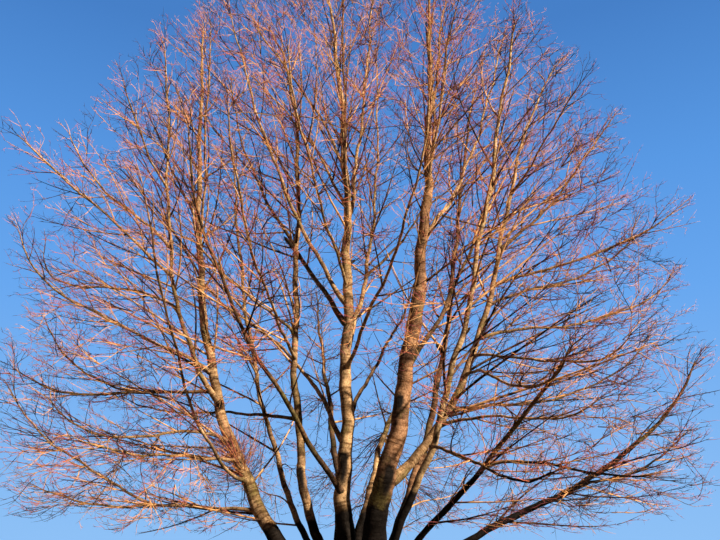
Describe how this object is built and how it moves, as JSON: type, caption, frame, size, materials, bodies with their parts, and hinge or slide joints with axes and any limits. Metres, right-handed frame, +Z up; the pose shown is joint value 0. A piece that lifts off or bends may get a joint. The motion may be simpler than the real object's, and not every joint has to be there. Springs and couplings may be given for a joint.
{
  "type": "bare winter tree",
  "caption": "Large bare deciduous tree in winter, a fan of stems from one flared root crown carrying a broad rounded crown of boughs.",
  "frame": {"origin": "middle of the foot, on the ground, at the flat cut under the root crown", "axes": "+Z up from the ground to the crown's top, -Y towards the viewer of the picture, +X to that viewer's right"},
  "size_m": [15.8, 12.8, 16.5],
  "materials": {
    "root_crown_bark": "rough furrowed bark",
    "stem_bark": "smooth grey-brown bark with faint rings",
    "bough_bark": "thin smooth brown bark"
  },
  "bodies": {
    "root": {"bough_behind_left": "bough_bark", "bough_centre_leader_back": "bough_bark", "bough_centre_leader_front": "bough_bark", "bough_centre_left_back": "bough_bark", "bough_centre_left_front": "bough_bark", "bough_centre_left_high": "bough_bark", "bough_centre_left_rear": "bough_bark", "bough_centre_left_tall": "bough_bark", "bough_centre_left_top": "bough_bark", "bough_centre_low_left": "bough_bark", "bough_centre_right_back": "bough_bark", "bough_centre_right_front": "bough_bark", "bough_centre_right_rear": "bough_bark", "bough_fork_front": "bough_bark", "bough_fork_high_front": "bough_bark", "bough_fork_level": "bough_bark", "bough_fork_level_back": "bough_bark", "bough_fork_out": "bough_bark", "bough_fork_out_back": "bough_bark", "bough_fork_out_high": "bough_bark", "bough_fork_out_low": "bough_bark", "bough_fork_rising": "bough_bark", "bough_left_fork": "bough_bark", "bough_left_fork_front": "bough_bark", "bough_left_fork_high": "bough_bark", "bough_left_fork_level": "bough_bark", "bough_left_fork_out": "bough_bark", "bough_left_high_back": "bough_bark", "bough_left_leader": "bough_bark", "bough_left_level": "bough_bark", "bough_left_level_back": "bough_bark", "bough_left_level_front": "bough_bark", "bough_left_level_low": "bough_bark", "bough_left_lowest": "bough_bark", "bough_left_lowest_rising": "bough_bark", "bough_left_outer": "bough_bark", "bough_left_rising": "bough_bark", "bough_low_front": "bough_bark", "bough_low_right_back": "bough_bark", "bough_low_right_front": "bough_bark", "bough_mid_left_front": "bough_bark", "bough_mid_left_out": "bough_bark", "bough_rear_right": "bough_bark", "bough_right_back_long": "bough_bark", "bough_right_fork": "bough_bark", "bough_right_front_high": "bough_bark", "bough_right_high": "bough_bark", "bough_right_twin": "bough_bark", "root_crown": "root_crown_bark", "stem_back_left": "stem_bark", "stem_back_right": "stem_bark", "stem_centre": "stem_bark", "stem_left": "stem_bark", "stem_low_front": "stem_bark", "stem_low_right": "stem_bark", "stem_mid_left": "stem_bark", "stem_right": "stem_bark", "stem_right_back": "stem_bark", "stem_right_lit": "stem_bark", "stem_slim_left": "stem_bark"}
  },
  "joints": []
}
